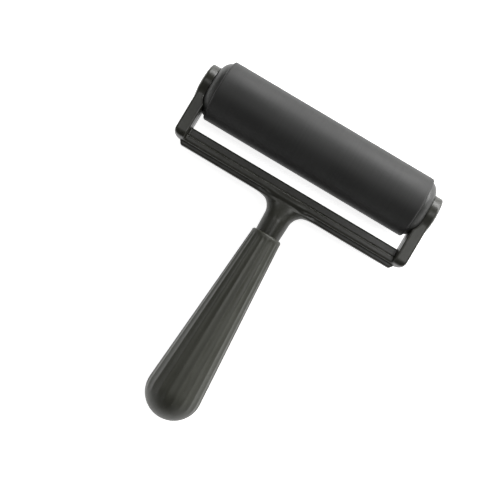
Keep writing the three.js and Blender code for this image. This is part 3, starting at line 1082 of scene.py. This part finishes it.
@dataclass
class Yoke:
    """The moulded yoke: tall arms, a bar with web and rib, a boss at each end, and the neck and tang."""

    line: AxleLine
    step: float = 0.36
    arm_inner: float = 51.9
    arm_outer: float = 57.4
    arm_height: float = 15.6
    arm_rounding: float = 0.9
    arm_back_rounding: float = 3.5
    bar_front: float = 20.1
    bar_back: float = 29.0
    rib_front: float = 23.6
    rib_back: float = 26.8
    web_thickness: float = 4.6
    web_rounding: float = 0.7
    rib_height: float = 9.0
    rib_rounding: float = 0.9
    foot_fillet: float = 0.4
    arm_fillet: float = 0.8
    corner: float = 3.1
    ledge_end: float = 52.3
    ledge_slant: float = 1.6
    ledge_edge: float = 0.7
    slot_corner: float = 0.8
    boss_radius: float = 8.6
    boss_inner: float = 54.8
    boss_lip: float = 53.72
    washer_seat: float = 7.1
    boss_edge: float = 0.25
    boss_flat: float = 4.9
    boss_crown: float = 1.2
    boss_fillet: float = 1.2
    hub_clearance: float = 0.2
    hub_edge: float = 0.06
    axle_bore: float = 2.62
    counterbore: float = 3.9
    counterbore_floor: float = 56.35
    counterbore_edge: float = 0.3
    neck_radius: float = 5.55
    neck_root: float = 6.0
    neck_fillet: float = 6.7
    neck_end: float = 47.0
    neck_full: float = 37.0
    root_start: float = 25.4
    root_half_height: float = 4.35
    root_blend: float = 1.3
    tang_half_width: float = 4.1
    tang_half_thickness: float = 1.6
    tang_edge: float = 0.4
    curve_steps: int = 8
    tang_end: float = field(init=False)
    boss_outer: float = field(init=False)
    web: FlatOutline = field(init=False)
    rib: FlatOutline = field(init=False)
    arm_above: FlatOutline = field(init=False)
    arm_side: FlatOutline = field(init=False)
    boss: FlatOutline = field(init=False)
    hub_space: FlatOutline = field(init=False)

    def build(self) -> None:
        """Builds and dresses the yoke."""
        _, self.tang_end = self.line.behind("yoke")
        _, self.boss_outer = self.line.reach("yoke")
        ledge_foot = self.ledge_end + self.ledge_slant
        ledge = [(ledge_foot, self.rib_back), (self.ledge_end, self.bar_back)]
        self.web = FlatOutline(self._frame_outline(self.bar_front, ledge))
        self.rib = FlatOutline(self._frame_outline(self.rib_front, []))
        self.arm_above = FlatOutline(self._arm_from_above())
        self.arm_side = FlatOutline(self._arm_from_the_side())
        self.boss = FlatOutline(self._boss_outline())
        self.hub_space = FlatOutline(self._hub_space_outline())
        room = 3 * self.step
        front, back = self.boss_radius + room, -self.tang_end - room
        half_size = (self.boss_outer + room, (front - back) / 2, self.boss_radius + room)
        shell = skinned(self.distances, half_size, (front + back) / 2, self.step)
        piece = new_object("moulded_yoke", shell, self.line.middle)
        hand_over(piece, YOKE_PLASTIC, Body.YOKE, ["yoke"])

    def _frame_outline(self, front: float, ledge: Sequence[tuple[float, float]]) -> np.ndarray:
        """Draws a U from above: two arms that reach the axle line, joined by a bar.

        Args:
            front: The bar's front face, behind the axle.
            ledge: The right-hand corners of a ledge along the bar's back, from the middle and behind
                the axle, or nothing.

        Returns:
            The outline's points.
        """
        inner, outer, back = self.arm_inner, self.arm_outer, self.rib_back
        right = [Corner(outer, 0), Corner(outer, -back, self.corner)]
        right += [Corner(at, -behind, self.ledge_edge) for at, behind in ledge]
        left = [Corner(-corner.u, corner.v, corner.rounding) for corner in reversed(right)]
        slot = [
            Corner(-inner, 0),
            Corner(-inner, -front, self.slot_corner),
            Corner(inner, -front, self.slot_corner),
            Corner(inner, 0),
        ]
        return rounded([*right, *left, *slot], self.curve_steps)

    def _arm_from_above(self) -> np.ndarray:
        """Returns the right arm's outline from above, which ends on the axle line."""
        inner, outer, back = self.arm_inner, self.arm_outer, -self.rib_back
        corners = [Corner(inner, 0), Corner(inner, back)]
        corners += [Corner(outer, back, self.corner), Corner(outer, 0)]
        return rounded(corners, self.curve_steps)

    def _arm_from_the_side(self) -> np.ndarray:
        """Returns the arms' outline from the side, as distances behind the axle and heights from it."""
        half, back, rounding = self.arm_height / 2, self.rib_back, self.arm_back_rounding
        corners = [Corner(-1, -half), Corner(back, -half, rounding)]
        corners += [Corner(back, half, rounding), Corner(-1, half)]
        return rounded(corners, self.curve_steps)

    def _boss_outline(self) -> np.ndarray:
        """Returns the boss's outline, a disc with a crowned face and a lip round the thrust washer."""
        crown_start = (self.boss_outer - self.boss_crown, self.boss_radius)
        corners = [
            Corner(self.boss_inner, -1),
            Corner(self.boss_inner, self.washer_seat),
            Corner(self.boss_lip, self.washer_seat),
            Corner(self.boss_lip, self.boss_radius, self.boss_edge),
            *dome(crown_start, (self.boss_outer, self.boss_flat), 8),
            Corner(self.boss_outer, -1),
        ]
        return rounded(corners, 3)

    def _hub_space_outline(self) -> np.ndarray:
        """Returns the outline of the space that a hub turns in, with the thrust washer's seat."""
        gap = self.hub_clearance
        start = self.line.reach("roller_sleeve")[1]
        rim = (start + gap, self.line.radius("hub_right") + gap)
        nose = (self.line.reach("hub_right")[1] + gap, Roller.hub_nose + gap)
        corners = [
            Corner(0, -1),
            Corner(0, rim[1]),
            *dome(rim, nose, 8, Roller.hub_dome_power),
            Corner(self.boss_lip + gap, nose[1]),
            Corner(self.boss_lip + gap, self.washer_seat),
            Corner(self.boss_inner, self.washer_seat),
            Corner(self.boss_inner, -1),
        ]
        return rounded(corners, 3)

    def _neck(self, x: np.ndarray, behind: np.ndarray, z: np.ndarray) -> np.ndarray:
        """Measures the distance to the neck: round at the handle, flared and flattened at the bar.

        Args:
            x: Distances from the middle.
            behind: Distances behind the axle.
            z: Heights from the axle.

        Returns:
            The distances.
        """
        fillet_end = self.bar_back + self.neck_fillet
        into_fillet = np.clip(fillet_end - behind, 0, self.neck_fillet)
        flare = self.neck_fillet - np.sqrt(self.neck_fillet**2 - into_fillet**2)
        taper = np.clip((behind - fillet_end) / (self.neck_end - fillet_end), 0, 1)
        half_width = self.neck_root + flare - taper * (self.neck_root - self.neck_radius)
        rise = np.clip((behind - self.rib_back) / (self.neck_full - self.rib_back), 0, 1)
        rise = rise * rise * (3 - 2 * rise)
        plain = self.neck_root - taper * (self.neck_root - self.neck_radius)
        half_height = self.root_half_height + rise * (plain - self.root_half_height)
        round_part = (np.hypot(x / half_width, z / half_height) - 1) * half_height
        length = self.neck_end - self.root_start
        along = np.abs(behind - self.root_start - length / 2) - length / 2
        return shared(round_part, along, self.tang_edge)

    def _tang(self, x: np.ndarray, behind: np.ndarray, z: np.ndarray) -> np.ndarray:
        """Measures the distance to the cross-shaped tang that the handle is pushed over.

        Args:
            x: Distances from the middle.
            behind: Distances behind the axle.
            z: Heights from the axle.

        Returns:
            The distances.
        """
        start = self.neck_end - 1
        along = np.abs(behind - (start + self.tang_end) / 2) - (self.tang_end - start) / 2
        x, z, edge = np.abs(x), np.abs(z), self.tang_edge
        level = shared(x - self.tang_half_width, z - self.tang_half_thickness, edge)
        upright = shared(z - self.tang_half_width, x - self.tang_half_thickness, edge)
        return shared(united(level, upright, edge), along, edge)

    def distances(self, x: np.ndarray, y: np.ndarray, z: np.ndarray) -> np.ndarray:
        """Measures the distance of points to the yoke's surface.

        Args:
            x: Distances along the axle from its middle.
            y: Distances in front of the axle.
            z: Heights from the axle.

        Returns:
            The distances, negative inside the yoke.
        """
        at, out = np.abs(x), np.hypot(y, z)
        web = plate(self.web.distance(x, y), z, self.web_thickness, self.web_rounding)
        rib = plate(self.rib.distance(x, y), z, self.rib_height, self.rib_rounding)
        arm = plate(self.arm_above.distance(at, y), z, self.arm_height, self.arm_rounding)
        arm = shared(arm, self.arm_side.distance(-y, z), self.arm_rounding)
        solid = united(united(web, rib, self.foot_fillet), arm, self.arm_fillet)
        solid = shared(solid, -self.hub_space.distance(at, out), self.hub_edge)
        solid = united(solid, self.boss.distance(at, out), self.boss_fillet)
        solid = united(solid, self._neck(x, -y, z), self.root_blend)
        solid = united(solid, self._tang(x, -y, z), self.tang_edge)
        solid = shared(solid, self.axle_bore - out, self.hub_edge / 2)
        seat = np.maximum(out - self.counterbore, self.counterbore_floor - at)
        return shared(solid, -seat, self.counterbore_edge)


@dataclass
class Handle:
    """The fluted handle: a taper from a rounded collar to a round butt, with a blind socket."""

    line: AxleLine
    butt_radius: float = 12.7
    collar_radius: float = 7.0
    collar_rounding: float = 1.1
    taper_lead: float = 0.9
    flutes: int = 20
    facets_per_flute: int = 16
    flute_depth: float = 0.3
    ridge_softness: float = 0.2
    flute_start: float = 44.7
    flute_full: float = 46.2
    flute_fade: float = 123.5
    flute_end: float = 127.6
    mouth_radius: float = 5.85
    mouth_floor: float = 47.3
    socket_radius: float = 4.7
    socket_floor: float = 88.0
    ring_spacing: float = 1.2
    cap_steps: int = 28

    def build(self) -> None:
        """Builds and dresses the handle."""
        outline = self._outline()
        facets = self.flutes * self.facets_per_flute
        piece = new_object("fluted_handle", turned(outline, facets, Axis.Y), self.line.middle)
        self._press_flutes(piece)
        hand_over(piece, GRIP_PLASTIC, Body.YOKE, ["handle_grip"])

    def _outline(self) -> np.ndarray:
        """Draws the handle from its butt along the outside to the collar, and back up the socket.

        Returns:
            The outline's points.
        """
        start, end = self.line.behind("handle_grip")
        butt_radius, spacing = self.butt_radius, self.ring_spacing
        butt_middle = end - butt_radius
        taper_end = butt_middle - self.taper_lead
        taper_end_radius = math.sqrt(butt_radius**2 - self.taper_lead**2)
        taper_start = start + self.collar_rounding
        slope = (taper_end_radius - self.collar_radius) / (taper_end - taper_start)
        sections = math.ceil((taper_end - taper_start) / spacing)
        rings = [
            *np.linspace(taper_end, taper_start + spacing, sections),
            *np.linspace(taper_start + 0.9 * spacing, taper_start + 0.2, 6),
        ]
        cap = dome((-butt_middle, butt_radius), (-end, 0), self.cap_steps)
        corners = [Corner(-end, 0), *reversed(cap[1:-1])]
        for behind in map(float, rings):
            out = self.collar_radius + slope * (behind - taper_start)
            corners.append(Corner(-behind, out))
        corners += [
            Corner(-start, self.collar_radius, self.collar_rounding * 0.98),
            Corner(-start, self.mouth_radius, 0.15),
            Corner(-self.mouth_floor, self.mouth_radius),
            Corner(-self.mouth_floor, self.socket_radius, 0.2),
            Corner(-self.socket_floor, self.socket_radius, 0.5),
            Corner(-self.socket_floor, 0),
        ]
        return rounded(corners, 8)

    def _press_flutes(self, piece: bpy.types.Object) -> None:
        """Presses the flutes into the turned handle, deepest in line with the top.

        Args:
            piece: The turned handle.
        """
        rule = GeometryRule(
            "pressed_flutes",
            {
                "Middle": self.line.middle.copy(),
                "Flutes": self.flutes,
                "Depth": self.flute_depth * MM,
                "Ridge softness": self.ridge_softness,
                "Start": self.flute_start * MM,
                "Full": self.flute_full * MM,
                "Fade": self.flute_fade * MM,
                "End": self.flute_end * MM,
                "Inner radius": (self.mouth_radius + 0.3) * MM,
                "Material": GRIP_PLASTIC.material(),
            },
        )
        nodes, given, out = rule.start()
        sizes = given.outputs
        place = nodes.add("GeometryNodeInputPosition").outputs[0]
        apart = nodes.add("ShaderNodeSeparateXYZ")
        nodes.feed(apart.inputs[0], nodes.vector_math("SUBTRACT", place, sizes["Middle"]).outputs[0])
        x, y, z = apart.outputs
        outward = nodes.add("ShaderNodeCombineXYZ")
        nodes.fill(outward, {"X": x, "Z": z})
        radius = nodes.vector_math("LENGTH", outward.outputs[0]).outputs["Value"]
        behind = nodes.math("MULTIPLY", y, -1.0)

        half_flutes = nodes.math("DIVIDE", sizes["Flutes"], 2.0)
        half_turns = nodes.math("MULTIPLY", nodes.math("ARCTAN2", x, z), half_flutes)
        wave = nodes.math("COSINE", half_turns)
        soft = sizes["Ridge softness"]
        soft_square = nodes.math("MULTIPLY", soft, soft)
        hollow = nodes.math("SQRT", nodes.math("MULTIPLY_ADD", wave, wave, soft_square))
        hollow = nodes.math("SUBTRACT", hollow, soft)
        fade_in = nodes.ramp(behind, sizes["Start"], sizes["Full"], 0.0, 1.0)
        fade_out = nodes.ramp(behind, sizes["Fade"], sizes["End"], 1.0, 0.0)
        press = nodes.math("MULTIPLY", hollow, sizes["Depth"])
        press = nodes.math("MULTIPLY", press, nodes.math("MULTIPLY", fade_in, fade_out))
        inward = nodes.vector_math("NORMALIZE", outward.outputs[0]).outputs[0]
        shift = nodes.vector_math("SCALE", inward, nodes.math("MULTIPLY", press, -1.0)).outputs[0]

        move = nodes.add("GeometryNodeSetPosition")
        outside = nodes.math("GREATER_THAN", radius, sizes["Inner radius"])
        nodes.fill(move, {"Geometry": sizes["Geometry"], "Selection": outside, "Offset": shift})
        rule.end(nodes, move.outputs["Geometry"], given, out)
        rule.apply(piece, nodes.tree)


# ---------------------------------------------------------------------------------------------------
# Studio


@dataclass(frozen=True)
class SoftBox:
    """A soft studio light. Angles are in degrees and lengths in metres."""

    name: str
    azimuth: float
    elevation: float
    distance: float
    width: float
    height: float
    brightness: float

    def build(self, target: Vector) -> None:
        """Hangs the light round a target and aims it there.

        Args:
            target: The point that it faces.
        """
        data = bpy.data.lights.new(self.name, "AREA")
        data.shape = "RECTANGLE"
        data.size, data.size_y = self.width, self.height
        data.energy = self.brightness * math.pi * self.width * self.height
        light = bpy.data.objects.new(self.name, data)
        turn, rise = math.radians(self.azimuth), math.radians(self.elevation)
        level = math.cos(rise)
        away = Vector((math.sin(turn) * level, math.cos(turn) * level, math.sin(rise)))
        light.location = target + away * self.distance
        light.rotation_euler = away.to_track_quat("Z", "Y").to_euler()
        bpy.context.scene.collection.objects.link(light)


@dataclass
class Studio:
    """The floor, the lights and the camera."""

    line: AxleLine
    floor_size: float = 4.0
    floor_glow: float = 0.8
    surround: float = 0.16
    camera_distance: float = 520 * MM
    camera_roll: float = 30.775
    camera_tilt: float = 1.0
    lens: float = 86.45
    aim: tuple[float, float] = (-3.1 * MM, 7.45 * MM)
    lights: tuple[SoftBox, ...] = (
        SoftBox("key_light", 24, 20, 0.8, 1.2, 0.42, 9.5),
        SoftBox("high_right_light", 73, 71, 0.64, 0.16, 0.2, 6.5),
        SoftBox("high_left_light", -73, 71, 0.64, 0.16, 0.2, 3.0),
        SoftBox("right_fill_light", 125, 20, 0.7, 0.7, 0.35, 0.8),
        SoftBox("left_fill_light", -125, 20, 0.7, 0.7, 0.35, 0.7),
    )

    def build(self) -> None:
        """Builds the floor, the lights and the camera."""
        self._floor()
        for light in self.lights:
            light.build(self.line.middle)
        self._surround()
        self._camera()
        bpy.context.scene.view_settings.view_transform = "Standard"

    def _floor(self) -> None:
        """Lays a plain pale floor under the brayer."""
        half = self.floor_size / 2
        mesh = bpy.data.meshes.new("floor")
        corners = [(-half, -half, 0), (half, -half, 0), (half, half, 0), (-half, half, 0)]
        mesh.from_pydata(corners, [], [(0, 1, 2, 3)])
        floor = bpy.data.objects.new("floor", mesh)
        bpy.context.scene.collection.objects.link(floor)
        material = bpy.data.materials.new("pale_floor")
        material.use_nodes = True
        nodes = NodeTree(material.node_tree)
        shader = material.node_tree.nodes["Principled BSDF"]
        place = nodes.add("ShaderNodeTexCoord").outputs["Object"]
        clouds = nodes.ramp(nodes.noise(place, 90, 2), 0.3, 0.7, 0.0, 1.0)
        colour = nodes.mix(clouds, (0.9, 0.9, 0.9, 1), (0.93, 0.93, 0.92, 1))
        nodes.feed(shader.inputs["Base Color"], colour)
        shader.inputs["Roughness"].default_value = 0.8
        shader.inputs["Specular IOR Level"].default_value = 0.2
        shader.inputs["Emission Color"].default_value = (1, 1, 1, 1)
        shader.inputs["Emission Strength"].default_value = self.floor_glow
        mesh.materials.append(material)

    def _surround(self) -> None:
        """Sets the even light of the room."""
        world = bpy.data.worlds.new("studio")
        world.use_nodes = True
        background = world.node_tree.nodes["Background"]
        background.inputs["Color"].default_value = (1, 1, 1, 1)
        background.inputs["Strength"].default_value = self.surround
        bpy.context.scene.world = world

    def _camera(self) -> None:
        """Sets the camera almost straight above the brayer, turned about its line of sight."""
        data = bpy.data.cameras.new("camera")
        data.lens = self.lens
        camera = bpy.data.objects.new("camera", data)
        turn = Euler((math.radians(self.camera_tilt), 0, math.radians(self.camera_roll)))
        sight = turn.to_matrix() @ Vector((0, 0, -1))
        target = Vector((*self.aim, self.line.middle.z))
        camera.location = target - sight * self.camera_distance
        camera.rotation_euler = turn
        bpy.context.scene.collection.objects.link(camera)
        bpy.context.scene.camera = camera


def main() -> None:
    """Builds the brayer and its studio."""
    line = AxleLine.from_frame()
    Roller(line).build()
    AxleSet(line).build()
    Yoke(line).build()
    Handle(line).build()
    Studio(line).build()


if __name__ == "__main__":
    main()
